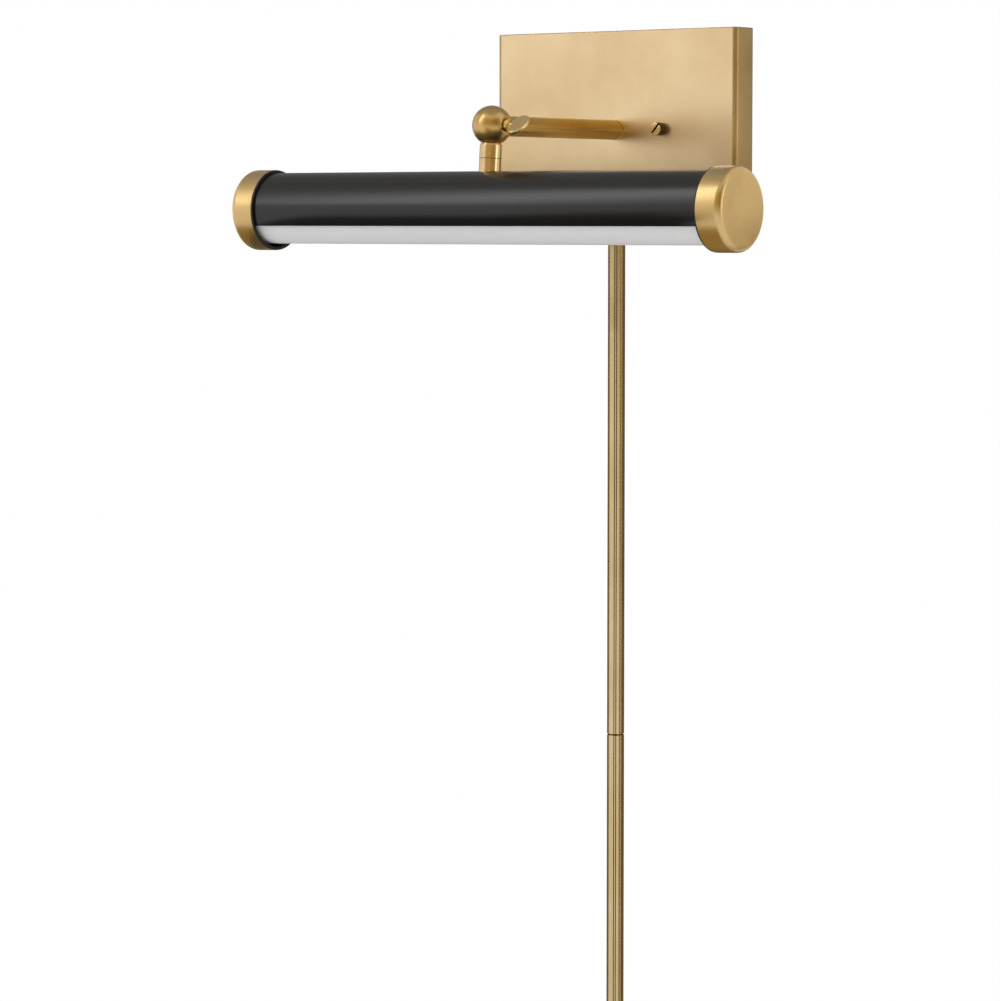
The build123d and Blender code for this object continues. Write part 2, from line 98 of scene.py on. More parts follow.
def block(name, low, high):
    """A block between two corners, as the start of a piece or as a cutter."""
    bpy.ops.object.select_all(action="DESELECT")
    middle = (Vector(low) + Vector(high)) / 2
    bpy.ops.mesh.primitive_cube_add(size=1, location=middle, scale=Vector(high) - Vector(low))
    return added(name)


def rod(name, radius, start, end, sides=96):
    """A round bar between two points, as the start of a piece or as a cutter."""
    bpy.ops.object.select_all(action="DESELECT")
    run = Vector(end) - Vector(start)
    turn = run.to_track_quat("Z", "Y").to_euler()
    middle = (Vector(start) + Vector(end)) / 2
    bpy.ops.mesh.primitive_cylinder_add(
        vertices=sides, radius=radius, depth=run.length, location=middle, rotation=turn
    )
    return added(name)


def pick(piece, kind, wanted):
    """Opens a piece in edit mode with only the wanted edges or faces selected."""
    take(piece)
    bpy.ops.object.mode_set(mode="EDIT")
    bpy.ops.mesh.select_mode(type=kind)
    bpy.ops.mesh.select_all(action="DESELECT")
    shape = bmesh.from_edit_mesh(piece.data)
    for item in shape.faces if kind == "FACE" else shape.edges:
        item.select_set(wanted(item))
    shape.select_flush_mode()
    bmesh.update_edit_mesh(piece.data)


def modified(piece, kind, **settings):
    """Adds a modifier to a piece and applies it."""
    take(piece)
    change = piece.modifiers.new(kind.lower(), kind)
    for setting, value in settings.items():
        setattr(change, setting, value)
    bpy.ops.object.modifier_apply(modifier=change.name)


def cut_away(piece, *cutters):
    """Takes each cutter's space out of a piece and clears the cutter away."""
    for cutter in cutters:
        modified(piece, "BOOLEAN", operation="DIFFERENCE", object=cutter, solver="EXACT")
        bpy.data.objects.remove(cutter)


def softened(piece, width, segments=2, limit=35):
    """Breaks the sharp edges of a piece by a small rounding."""
    modified(
        piece, "BEVEL", width=width, segments=segments, limit_method="ANGLE",
        angle_limit=radians(limit), harden_normals=False, use_clamp_overlap=True,
    )


def hung(piece, body, slot, finish, *stands_for):
    """Smooths a finished piece, gives it its finish and hangs it on its body for the solids it shows."""
    take(piece)
    bpy.ops.object.shade_smooth_by_angle(angle=smooth_angle)
    modified(piece, "WEIGHTED_NORMAL", keep_sharp=True)
    piece.data.materials.clear()
    piece.data.materials.append(finish)
    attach(piece, body)
    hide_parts(*stands_for)


def new_finish(name):
    """An empty finish: the material, its node tree and its shader."""
    finish = bpy.data.materials.new(name)
    finish.use_nodes = True
    tree = finish.node_tree
    return finish, tree, tree.nodes["Principled BSDF"]


def noise(tree, vector, scale, detail, roughness):
    """A noise pattern on the given coordinates."""
    pattern = tree.nodes.new("ShaderNodeTexNoise")
    pattern.inputs["Scale"].default_value = scale
    pattern.inputs["Detail"].default_value = detail
    pattern.inputs["Roughness"].default_value = roughness
    tree.links.new(vector, pattern.inputs["Vector"])
    return pattern.outputs["Fac"]


def spread(tree, value, low, high, to_low, to_high):
    """A value moved from one range to another, held at the ends."""
    ranged = tree.nodes.new("ShaderNodeMapRange")
    for socket, number in zip(("From Min", "From Max", "To Min", "To Max"), (low, high, to_low, to_high)):
        ranged.inputs[socket].default_value = number
    tree.links.new(value, ranged.inputs["Value"])
    return ranged.outputs["Result"]


def summed(tree, first, second):
    """Two values added up."""
    total = tree.nodes.new("ShaderNodeMath")
    tree.links.new(first, total.inputs[0])
    tree.links.new(second, total.inputs[1])
    return total.outputs["Value"]


def shaded(tree, value, *tones):
    """Colour stops, evenly spread from 0 to 1, that a value runs along."""
    ramp = tree.nodes.new("ShaderNodeValToRGB")
    stops = ramp.color_ramp.elements
    while len(stops) < len(tones):
        stops.new(0.5)
    for index, tone in enumerate(tones):
        stops[index].position = index / (len(tones) - 1)
        stops[index].color = (*tone, 1.0)
    tree.links.new(value, ramp.inputs["Fac"])
    return ramp.outputs["Color"]


def raised(tree, shader, height, depth):
    """A fine relief of the given depth in metres."""
    relief = tree.nodes.new("ShaderNodeBump")
    relief.inputs["Strength"].default_value = 1.0
    relief.inputs["Distance"].default_value = depth
    tree.links.new(height, relief.inputs["Height"])
    tree.links.new(relief.outputs["Normal"], shader.inputs["Normal"])


def brass(name, tones, roughness, grain, relief, patch, lacquer=0.0, brushed=0.2):
    """Antique brass: soft patches of patina, fine brushing that runs where grain is small, and lacquer."""
    finish, tree, shader = new_finish(name)
    place = tree.nodes.new("ShaderNodeTexCoord").outputs["Object"]
    stretch = tree.nodes.new("ShaderNodeMapping")
    stretch.inputs["Scale"].default_value = grain
    tree.links.new(place, stretch.inputs["Vector"])
    brushing = noise(tree, stretch.outputs["Vector"], 1.0, 4.0, 0.6)
    patina = noise(tree, place, patch, 4.0, 0.55)
    share = 0.28 * brushed
    tone = summed(
        tree, spread(tree, patina, 0.32, 0.68, 0.0, 1 - share),
        spread(tree, brushing, 0.3, 0.7, 0.0, share),
    )
    tree.links.new(shaded(tree, tone, *tones), shader.inputs["Base Color"])
    gloss = spread(tree, brushing, 0.25, 0.75, roughness - 0.05 * brushed, roughness + 0.07 * brushed)
    tree.links.new(gloss, shader.inputs["Roughness"])
    shader.inputs["Metallic"].default_value = 1.0
    shader.inputs["Coat Weight"].default_value = lacquer
    shader.inputs["Coat Roughness"].default_value = 0.26
    raised(tree, shader, brushing, relief)
    return finish


def rises(edge):
    """Whether an edge of the box runs up the wall."""
    return abs(edge.verts[0].co.z - edge.verts[1].co.z) > plate_round


def lies_at(edge, axis, value):
    """Whether both ends of an edge lie at a value of one axis."""
    return all(abs(end.co[axis] - value) < same_place for end in edge.verts)


def rounded(piece, size, segments, wanted):
    """Rounds the wanted edges of a piece."""
    pick(piece, "EDGE", wanted)
    bpy.ops.mesh.bevel(offset=size, segments=segments, profile=0.5, affect="EDGES")
    bpy.ops.object.mode_set(mode="OBJECT")


backplate = block("backplate_shell", plate_low, plate_high)
pick(backplate, "FACE", lambda face: face.normal.y > flat_face)
bpy.ops.mesh.delete(type="FACE")
bpy.ops.object.mode_set(mode="OBJECT")
modified(backplate, "SOLIDIFY", thickness=plate_wall, offset=-1.0, use_even_offset=True)
for depth in (0, plate_wall):
    rounded(
        backplate, plate_round - depth, 6,
        lambda edge: rises(edge) and lies_at(edge, 1, plate_low.y + depth),
    )
for rim in (plate_low.z, plate_high.z):
    rounded(
        backplate, plate_rim_round, 4,
        lambda edge: lies_at(edge, 2, rim) and not lies_at(edge, 1, plate_high.y),
    )
cover_low, cover_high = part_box("cord_cover_upper")
cover_middle = (cover_low + cover_high) / 2
cover_radius = (cover_high.x - cover_low.x) / 2
notch_radius = cover_radius + hole_room
notch_height = 0.004
through = Vector((0, plate_high.y - plate_low.y, 0))
notch_foot = Vector((cover_middle.x, cover_middle.y, plate_low.z))
holes = [rod("arm_hole", arm_tail_radius + hole_room, -2 * through, through)]
for side in (-1, 1):
    centre = Vector((side * screw_spacing / 2, 0, 0))
    holes.append(
        rod("screw_hole", screw_shank_radius + hole_room, centre - 2 * through, centre + through, 48)
    )
notch_up = Vector((0, 0, notch_height))
holes.append(rod("notch_round", notch_radius, notch_foot - notch_up, notch_foot + notch_up))
notch_side = Vector((notch_radius, 0, 0))
holes.append(
    block("notch_mouth", notch_foot - notch_up - notch_side, notch_foot + notch_up + notch_side + through)
)
cut_away(backplate, *holes)
plate_front_painted_sheen = brass(
    "plate_front_painted_sheen", [(0.674, 0.495, 0.268), (0.738, 0.554, 0.316), (0.792, 0.607, 0.364)],
    roughness=0.28, grain=(9, 9, 420), relief=0.00000001, patch=18.0, brushed=0.04,
)
plate_side_painted_shade = brass(
    "plate_side_painted_shade", [(0.578, 0.388, 0.173), (0.653, 0.449, 0.202), (0.706, 0.50, 0.24)],
    roughness=0.38, grain=(2600, 2600, 45), relief=0.0000022, patch=30.0,
)
plate_edge_painted_shade = brass(
    "plate_edge_painted_shade", [(0.42, 0.29, 0.125), (0.48, 0.335, 0.155), (0.54, 0.385, 0.185)],
    roughness=0.32, grain=(900, 900, 45), relief=0.0000010, patch=30.0,
)
hung(backplate, "wall_bracket", "antique_brass", plate_front_painted_sheen, "backplate")
backplate.data.materials.append(plate_side_painted_shade)
backplate.data.materials.append(plate_edge_painted_shade)
# Front faces take the painted sheen, flat sides the painted shade, and rounded edges the darker painted
# shade.
for face in backplate.data.polygons:
    if max(abs(value) for value in face.normal) <= flat_face:
        face.material_index = 2
    else:
        face.material_index = 0 if face.normal.y < -flat_face else 1

# Strap and small hardware behind the plate: the steel crossbar that screws to a wall box, its ground
# screw, and the washer and nut on the arm's tail. All are stamped or turned steel, bright zinc plated.
edge_break = 0.00015
merge_distance = 0.000001
coplanar_angle = radians(0.5)


def dressed(node, body, slot, finish, width=edge_break):
    """A merged copy of a solid with its sharp edges broken, in place of the plain solid."""
    piece = bpy.data.objects.new(node + "_dressed", nodes[node].data.copy())
    bpy.context.scene.collection.objects.link(piece)
    pick(piece, "FACE", lambda face: True)
    bpy.ops.mesh.remove_doubles(threshold=merge_distance)
    bpy.ops.mesh.dissolve_limited(angle_limit=coplanar_angle)
    bpy.ops.mesh.customdata_custom_splitnormals_clear()
    bpy.ops.object.mode_set(mode="OBJECT")
    softened(piece, width)
    hung(piece, body, slot, finish, node)


def zinc(name, tones, roughness):
    """Zinc plating: a grey with faint crystal patches and a satin gloss."""
    finish, tree, shader = new_finish(name)
    place = tree.nodes.new("ShaderNodeTexCoord").outputs["Object"]
    crystals = noise(tree, place, 900.0, 2.0, 0.6)
    clouds = noise(tree, place, 70.0, 3.0, 0.5)
    tone = summed(
        tree, spread(tree, clouds, 0.3, 0.7, 0.0, 0.6), spread(tree, crystals, 0.3, 0.7, 0.0, 0.4)
    )
    tree.links.new(shaded(tree, tone, *tones), shader.inputs["Base Color"])
    gloss = spread(tree, crystals, 0.3, 0.7, roughness, roughness + 0.12)
    tree.links.new(gloss, shader.inputs["Roughness"])
    shader.inputs["Metallic"].default_value = 1.0
    return finish


plated_steel = zinc(
    "plated_steel", [(0.42, 0.42, 0.41), (0.58, 0.58, 0.57), (0.66, 0.66, 0.64)], roughness=0.28
)
for node in ("crossbar", "ground_screw", "arm_washer", "arm_nut"):
    dressed(node, "wall_bracket", "plated_steel", plated_steel)

# Canopy screws: two turned brass screws with a tall round head and a straight driver slot.
# They pass through the plate into the strap's tapped collars.
head_radius = 0.00415
head_height = 0.0061
head_round = 0.0007
slot_width = 0.0014
slot_depth = 0.0020
slot_turn = radians(48)
slot_lip = 0.0002
close_by = 0.00005
on_circle = 0.00002
fine_edge = 0.00012
front_facing = 0.8
shank_length = plate_high.y - plate_low.y - close_by


def drawn(name, corners):
    """A closed outline of straight edges through the given corners, left selected in edit mode."""
    bpy.ops.object.select_all(action="DESELECT")
    bpy.ops.mesh.primitive_plane_add(size=0.01)
    piece = bpy.context.object
    piece.name = name
    bpy.ops.object.mode_set(mode="EDIT")
    bpy.ops.mesh.select_mode(type="VERT")
    bpy.ops.mesh.select_all(action="SELECT")
    bpy.ops.mesh.merge(type="CENTER")
    bpy.ops.transform.translate(value=corners[0])
    for here, there in zip(corners, corners[1:] + corners[:1]):
        bpy.ops.mesh.extrude_region_move(TRANSFORM_OT_translate={"value": there - here})
    bpy.ops.mesh.select_all(action="SELECT")
    bpy.ops.mesh.remove_doubles(threshold=merge_distance)
    return piece


def turned(name, outline, steps=96):
    """A piece turned on a lathe: a closed outline of radius and height, spun about Z."""
    piece = drawn(name, [Vector((radius, 0, height)) for radius, height in outline])
    bpy.ops.mesh.spin(steps=steps, angle=2 * pi, center=(0, 0, 0), axis=(0, 0, 1))
    bpy.ops.mesh.select_all(action="SELECT")
    bpy.ops.mesh.remove_doubles(threshold=merge_distance)
    bpy.ops.mesh.normals_make_consistent(inside=False)
    bpy.ops.object.mode_set(mode="OBJECT")
    return piece


def round_edge(piece, radius, height, size, segments):
    """Rounds the circular edge of a turned piece at a radius and height."""
    def on_edge(edge):
        return all(
            abs(hypot(end.co.x, end.co.y) - radius) < on_circle and abs(end.co.z - height) < on_circle
            for end in edge.verts
        )

    rounded(piece, size, segments, on_edge)


def settled(piece, place):
    """Moves a piece from its own workbench to its place, and applies the move to its mesh."""
    piece.matrix_world = place
    take(piece)
    bpy.ops.object.transform_apply(location=True, rotation=True, scale=True)
    return piece


screw = turned(
    "canopy_screw_pair",
    [
        (0, -shank_length), (screw_shank_radius, -shank_length), (screw_shank_radius, 0),
        (head_radius, 0), (head_radius, head_height), (0, head_height),
    ],
    64,
)
round_edge(screw, head_radius, head_height, head_round, 4)
round_edge(screw, head_radius, 0, head_round / 4, 2)
slot_reach = Vector((head_radius * 2, slot_width / 2, slot_depth))
slot_floor = Vector((0, 0, head_height))
cut_away(screw, block("driver_slot", slot_floor - slot_reach, slot_floor + slot_reach))
softened(screw, fine_edge)
outward = Matrix.Rotation(radians(90), 4, "X") @ Matrix.Rotation(slot_turn, 4, "Z")
screw_twin = screw.copy()
screw_twin.data = screw.data.copy()
bpy.context.scene.collection.objects.link(screw_twin)
settled(screw, Matrix.Translation((screw_spacing / 2, plate_low.y, 0)) @ outward)
settled(screw_twin, Matrix.Translation((-screw_spacing / 2, plate_low.y, 0)) @ outward)
take(screw)
screw_twin.select_set(True)
bpy.ops.object.join()
screw_brass = brass(
    "screw_brass", [(0.74, 0.53, 0.24), (0.81, 0.60, 0.285), (0.87, 0.66, 0.34)],
    roughness=0.24, grain=(420, 420, 420), relief=0.0000003, patch=60.0,
)
# The screw heads' sides are coloured near black as painted shade.
screw_side_painted_shade = brass(
    "screw_side_painted_shade", [(0.10, 0.06, 0.018), (0.13, 0.08, 0.025), (0.165, 0.105, 0.035)],
    roughness=0.28, grain=(420, 420, 420), relief=0.0000003, patch=60.0,
)
# A dark brass painted into slots, grooves, seams and the cover joiner as painted shade.
painted_recess_shade = brass(
    "painted_recess_shade", [(0.07, 0.05, 0.022), (0.10, 0.075, 0.035), (0.14, 0.105, 0.05)],
    roughness=0.5, grain=(1600, 1600, 30), relief=0.0000008, patch=40.0,
)
hung(screw, "wall_bracket", "antique_brass", screw_brass, "canopy_screws")
screw.data.materials.append(screw_side_painted_shade)
screw.data.materials.append(painted_recess_shade)
# Head fronts keep the plain brass, sides take the painted shade, and the driver slots a darker painted
# shade.
for face in screw.data.polygons:
    side = 1 if face.center.x > 0 else -1
    place = face.center - Vector((side * screw_spacing / 2, plate_low.y, 0))
    in_slot = slot_lip < place.y + head_height < slot_depth + close_by
    in_slot = in_slot and hypot(place.x, place.z) < head_radius - on_circle
    face.material_index = 2 if in_slot else 0 if face.normal.y < -front_facing else 1

# Arm: a turned brass tube that stands square on the plate. Its tail passes through the plate to the nut,
# a bush guards the lead there, and its front end is hollowed to clear the ball.
pivot = Vector(next(joint for joint in frame["joints"] if joint["name"] == "head_tilt")["pos_m"])
arm_radius = 0.00635
arm_bore_radius = 0.0038
arm_edge_round = 0.0010
ball_radius = 0.0121
ball_room = 0.0004
arm_reach = plate_low.y - pivot.y
tail_length = 0.0080
arm = turned(
    "arm_tube",
    [
        (arm_bore_radius, -tail_length), (arm_tail_radius, -tail_length), (arm_tail_radius, 0),
        (arm_radius, 0), (arm_radius, arm_reach), (arm_bore_radius, arm_reach),
    ],
)
round_edge(arm, arm_radius, 0, arm_edge_round, 4)
settled(arm, Matrix.Translation((0, plate_low.y, 0)) @ Matrix.Rotation(radians(90), 4, "X"))
bpy.ops.object.select_all(action="DESELECT")
bpy.ops.mesh.primitive_uv_sphere_add(
    segments=96, ring_count=48, radius=ball_radius + ball_room, location=pivot
)
cut_away(arm, added("ball_space"))
softened(arm, fine_edge)
arm_brass = brass(
    "arm_brass", [(0.645, 0.45, 0.152), (0.695, 0.495, 0.178), (0.735, 0.54, 0.214)],
    roughness=0.26, grain=(900, 30, 900), relief=0.00000002, patch=40.0, brushed=0.1,
)
hung(arm, "wall_bracket", "antique_brass", arm_brass, "arm")
dressed("arm_tongue", "wall_bracket", "raw_brass", arm_brass)


def moulded(name, tones, roughness, texture_scale, relief):
    """Moulded plastic: a fine spark-eroded texture and a faint cloudiness in its colour."""
    finish, tree, shader = new_finish(name)
    place = tree.nodes.new("ShaderNodeTexCoord").outputs["Object"]
    texture = noise(tree, place, texture_scale, 2.0, 0.5)
    clouds = noise(tree, place, texture_scale / 40, 3.0, 0.5)
    tone = spread(tree, clouds, 0.3, 0.7, 0.0, 1.0)
    tree.links.new(shaded(tree, tone, *tones), shader.inputs["Base Color"])
    gloss = spread(tree, texture, 0.3, 0.7, roughness - 0.04, roughness + 0.06)
    tree.links.new(gloss, shader.inputs["Roughness"])
    raised(tree, shader, texture, relief)
    return finish


black_plastic = moulded(
    "black_plastic", [(0.010, 0.010, 0.011), (0.018, 0.018, 0.019)],
    roughness=0.5, texture_scale=2400.0, relief=0.000004,
)
dressed("tail_bushing", "wall_bracket", "black_plastic", black_plastic)

# Driver: the white plastic supply block behind the plate, stuck to it with a foam pad. Its black
# low-voltage lead bends into the arm's tail.
driver_edge = 0.0004
white_plastic = moulded(
    "white_plastic", [(0.74, 0.74, 0.72), (0.82, 0.82, 0.80)],
    roughness=0.42, texture_scale=1800.0, relief=0.000006,
)
foam = moulded(
    "foam_tape", [(0.60, 0.60, 0.57), (0.72, 0.72, 0.69)],
    roughness=0.85, texture_scale=1500.0, relief=0.00005,
)
dressed("driver", "wall_bracket", "white_plastic", white_plastic, driver_edge)
dressed("driver_pad", "wall_bracket", "foam_tape", foam)
dressed("light_lead", "wall_bracket", "black_plastic", black_plastic)

# Cord cover: two drawn brass tubes, one under the other, each with two fine grooves down its front that
# are coloured dark as painted shade. A sleeve inside joins them, a black bush ends the upper one inside the
# plate, and a brass clip holds the lower one to the wall on a foam pad.
cover_wall = 0.0009
cover_chamfer = 0.00035
groove_width = 0.0006
groove_depth = 0.00045
groove_spacing = 0.00125
groove_degrees_right = 29
groove_direction = groove_degrees_right - 90
groove_reach = 15
groove_lip = 0.0001
clip_edge = 0.0003
cover_length = cover_high.z - cover_low.z
cover_brass = brass(
    "cover_brass", [(0.57, 0.425, 0.212), (0.615, 0.465, 0.245), (0.665, 0.51, 0.278)],
    roughness=0.22, grain=(300, 300, 12), relief=0.00000002, patch=22.0, brushed=0.1,
)


def in_groove(face):
    """Whether a face of a cover lies in one of its grooves."""
    out = Vector((face.center.x - cover_middle.x, face.center.y - cover_middle.y))
    turn = degrees(atan2(out.y, out.x)) - groove_direction
    depth = cover_radius - out.length - on_circle
    return abs(turn) < groove_reach and groove_lip / 2 < depth < cover_wall


for node in ("cord_cover_upper", "cord_cover_lower"):
    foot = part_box(node)[0].z
    cover = turned(
        node + "_tube",
        [
            (cover_radius - cover_wall, 0), (cover_radius - cover_chamfer, 0),
            (cover_radius, cover_chamfer), (cover_radius, cover_length - cover_chamfer),
            (cover_radius - cover_chamfer, cover_length), (cover_radius - cover_wall, cover_length),
        ],
    )
    groove_end = cover_length / 10
    for side in (-groove_spacing / 2, groove_spacing / 2):
        groove = block(
            "groove", (cover_radius - groove_depth, side - groove_width / 2, -groove_end),
            (cover_radius + groove_depth, side + groove_width / 2, cover_length + groove_end),
        )
        cut_away(cover, settled(groove, Matrix.Rotation(radians(groove_direction), 4, "Z")))
    softened(cover, groove_lip, 2, 50)
    settled(cover, Matrix.Translation((cover_middle.x, cover_middle.y, foot)))
    hung(cover, "wall_bracket", "antique_brass", cover_brass, node)
    # The groove faces take the dark painted shade.
    cover.data.materials.append(painted_recess_shade)
    for face in cover.data.polygons:
        face.material_index = 1 if in_groove(face) else 0
# The joiner inside the covers, where they meet, takes the same dark painted shade.
dressed("cover_joiner", "wall_bracket", "raw_brass", painted_recess_shade)
dressed("cord_bushing", "wall_bracket", "black_plastic", black_plastic)
dressed("cover_clip", "wall_bracket", "antique_brass", cover_brass, clip_edge)
dressed("cover_clip_pad", "wall_bracket", "foam_tape", foam)

# Knuckle ball: a turned brass ball with a milled slot at the back for the arm's tongue, a flat and a
# recess on the right for the key, and a flat underneath where it stands on the neck.
cap_low, cap_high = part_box("end_cap_right")
cap_middle = (cap_low + cap_high) / 2
head_drop = hypot(cap_middle.y - pivot.y, cap_middle.z - pivot.z)
rest_tilt = atan2(cap_middle.y - pivot.y, pivot.z - cap_middle.z)
head_place = Matrix.Translation(pivot) @ Matrix.Rotation(rest_tilt, 4, "X")
key_flat = 0.010673
recess_radius = 0.0043
recess_depth = 0.0012
neck_top = -0.010042
slot_half = 0.00306
slot_half_height = 0.0044
eye_room_radius = 0.0056
slot_low, slot_high = radians(-27), radians(47)
beyond = 2 * ball_radius
eye_steps = 48


def slab(name, outline, start, end):
    """A slab that reaches across X between two places, cut to a closed outline of Y and Z."""
    piece = drawn(name, [Vector((start, y, z)) for y, z in outline])
    bpy.ops.mesh.edge_face_add()
    bpy.ops.mesh.extrude_region_move(TRANSFORM_OT_translate={"value": (end - start, 0, 0)})
    bpy.ops.mesh.select_all(action="SELECT")
    bpy.ops.mesh.normals_make_consistent(inside=False)
    bpy.ops.object.mode_set(mode="OBJECT")
    return piece


lip_turn = asin(slot_half_height / eye_room_radius)
eye_start, eye_end = slot_high + lip_turn, slot_low - lip_turn + 2 * pi
slot_outline = [
    Matrix.Rotation(slot_low, 2) @ Vector((beyond, -slot_half_height)),
    Matrix.Rotation(slot_high, 2) @ Vector((beyond, slot_half_height)),
]
for step in range(eye_steps + 1):
    turn = eye_start + (eye_end - eye_start) * step / eye_steps
    slot_outline.append(Matrix.Rotation(turn, 2) @ Vector((eye_room_radius, 0)))
bpy.ops.object.select_all(action="DESELECT")
bpy.ops.mesh.primitive_uv_sphere_add(
    segments=128, ring_count=64, radius=ball_radius, rotation=(0, pi / 2, 0)
)
ball = added("knuckle_ball_turned")
cut_away(
    ball,
    block("key_face", (key_flat, -beyond, -beyond), (beyond, beyond, beyond)),
    block("neck_face", (-beyond, -beyond, -beyond), (beyond, beyond, neck_top)),
    rod("key_recess", recess_radius, (key_flat - recess_depth, 0, 0), (beyond, 0, 0)),
    slab("tongue_space", slot_outline, -slot_half, slot_half),
)
softened(ball, fine_edge, 2, 40)
settled(ball, head_place)
ball_brass = brass(
    "ball_brass", [(0.54, 0.35, 0.11), (0.60, 0.40, 0.138), (0.65, 0.445, 0.172)],
    roughness=0.32, grain=(300, 300, 300), relief=0.0000004, patch=60.0, lacquer=0.5,
)
hung(ball, "lamp_head", "antique_brass", ball_brass, "knuckle_ball")


def inside(finish, *names):
    """Gives a finish to solids that stay as they are, out of sight inside the lamp."""
    for name in names:
        for held in nodes[name].material_slots:
            held.material = finish


fibre = moulded(
    "pressed_fibre", [(0.24, 0.07, 0.04), (0.34, 0.11, 0.06)],
    roughness=0.7, texture_scale=1600.0, relief=0.00002,
)
inside(fibre, "friction_washers")

# Neck: two turned brass collars between ball and shade, the upper one chamfered towards the ball and the
# lower one hollowed to sit on the tube. A hollow threaded stem and its nut hold them together.
neck_radius = 0.00675
neck_chamfer_width = 0.0010
neck_chamfer_height = 0.0020
neck_seam = neck_top - 0.0103
saddle_radius = 0.0067
stem_room = 0.00355
shade_radius = 0.0233
saddle_room = 0.00005
neck_edge = 0.0003
neck_brass = brass(
    "neck_brass", [(0.64, 0.45, 0.21), (0.70, 0.505, 0.25), (0.75, 0.555, 0.30)],
    roughness=0.24, grain=(90, 90, 1600), relief=0.0000001, patch=60.0, lacquer=0.6,
)
collar = turned(
    "neck_collar_turned",
    [
        (stem_room, neck_top), (neck_radius - neck_chamfer_width, neck_top),
        (neck_radius, neck_top - neck_chamfer_height), (neck_radius, neck_seam), (stem_room, neck_seam),
    ],
)
softened(collar, neck_edge, 3, 20)


def darkened_seam(piece):
    """Colours the fine groove where the two collars meet dark, as painted shade."""
    piece.data.materials.append(painted_recess_shade)
    for face in piece.data.polygons:
        height = (head_place.inverted() @ face.center).z
        face.material_index = 1 if abs(height - neck_seam) < neck_edge else 0


hung(settled(collar, head_place), "lamp_head", "antique_brass", neck_brass, "neck_collar")
darkened_seam(collar)
tube_top = -head_drop + shade_radius
saddle_reach = 0.0030
saddle = turned(
    "shade_saddle_turned",
    [
        (stem_room, tube_top - saddle_reach), (saddle_radius, tube_top - saddle_reach),
        (saddle_radius, neck_seam), (stem_room, neck_seam),
    ],
)
tube_axis = Vector((0, 0, -head_drop))
across = Vector((beyond, 0, 0))
cut_away(saddle, rod("tube_space", shade_radius + saddle_room, tube_axis - across, tube_axis + across, 256))
softened(saddle, neck_edge, 3, 30)
hung(settled(saddle, head_place), "lamp_head", "antique_brass", neck_brass, "shade_saddle")
darkened_seam(saddle)
inside(plated_steel, "stem_nipple", "stem_nut")

# Shade: an aluminium channel bent round two thirds of the tube, with its long edges turned in to hold the
# diffuser, powder coated in satin black.
tube_place = head_place @ Matrix.Translation(tube_axis)
shade_low, shade_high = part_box("shade")
shade_wall = 0.0012
shade_edge_angle = 30
shade_lip = 0.00085
shade_edge = 0.00018
tube_sides = 288


def open_tube(name, radius, length):
    """A long tube along X with no ends and no wall, as the start of a bent channel."""
    bpy.ops.object.select_all(action="DESELECT")
    bpy.ops.mesh.primitive_cylinder_add(
        vertices=tube_sides, radius=radius, depth=length, end_fill_type="NOTHING", rotation=(0, pi / 2, 0)
    )
    return added(name)


def angle_up(point):
    """Degrees round the tube from its wall side, over the top."""
    return degrees(atan2(point.z, point.y)) % 360


shade = open_tube("shade_channel", shade_radius, shade_high.x - shade_low.x)
lower_start, lower_end = 180 + shade_edge_angle, 360 - shade_edge_angle
pick(shade, "FACE", lambda face: lower_start < angle_up(face.calc_center_median()) < lower_end)
bpy.ops.mesh.delete(type="FACE")
pick(
    shade, "EDGE",
    lambda edge: edge.is_boundary and abs(edge.verts[0].co.x - edge.verts[1].co.x) > shade_radius,
)
bpy.ops.mesh.extrude_region_move()
lip_scale = (shade_radius - shade_wall - shade_lip) / shade_radius
bpy.ops.transform.resize(value=(1, lip_scale, lip_scale), center_override=(0, 0, 0))
bpy.ops.object.mode_set(mode="OBJECT")
modified(shade, "SOLIDIFY", thickness=shade_wall, offset=-1.0, use_even_offset=True)
cut_away(shade, rod("stem_hole", stem_room, (0, 0, 0), (0, 0, beyond + ball_radius)))
softened(shade, shade_edge, 2, 50)
shade_finish, shade_tree, shade_shader = new_finish("satin_black")
shade_coords = shade_tree.nodes.new("ShaderNodeTexCoord").outputs["Object"]
orange_peel = noise(shade_tree, shade_coords, 600.0, 2.0, 0.5)
shade_clouds = noise(shade_tree, shade_coords, 35.0, 3.0, 0.5)
shade_tree.links.new(
    shaded(shade_tree, shade_clouds, (0.0040, 0.0040, 0.0043), (0.0060, 0.0060, 0.0063)),
    shade_shader.inputs["Base Color"],
)
shade_gloss = spread(shade_tree, orange_peel, 0.3, 0.7, 0.28, 0.29)
shade_tree.links.new(shade_gloss, shade_shader.inputs["Roughness"])
raised(shade_tree, shade_shader, orange_peel, 0.0000003)
hung(settled(shade, tube_place), "lamp_head", "black_paint", shade_finish, "shade")

# Diffuser: an extruded opal acrylic channel that closes the tube's underside. It is slid in from one end,
# between the shade's lips, and keeps faint lines from the die.
diffuser_radius = 0.0210
diffuser_wall = 0.0020
diffuser_half_angle = 70
diffuser_edge = 0.0002
diffuser_low, diffuser_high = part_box("diffuser")
diffuser = open_tube("diffuser_channel", diffuser_radius, diffuser_high.x - diffuser_low.x)
pick(
    diffuser, "FACE",
    lambda face: abs(angle_up(face.calc_center_median()) - 270) > diffuser_half_angle,
)
bpy.ops.mesh.delete(type="FACE")
bpy.ops.object.mode_set(mode="OBJECT")
modified(diffuser, "SOLIDIFY", thickness=diffuser_wall, offset=-1.0, use_even_offset=True)
softened(diffuser, diffuser_edge, 2, 50)
opal, opal_tree, opal_shader = new_finish("opal_acrylic")
opal_coords = opal_tree.nodes.new("ShaderNodeTexCoord").outputs["Object"]
opal_lines = opal_tree.nodes.new("ShaderNodeMapping")
opal_lines.inputs["Scale"].default_value = (4, 260, 260)
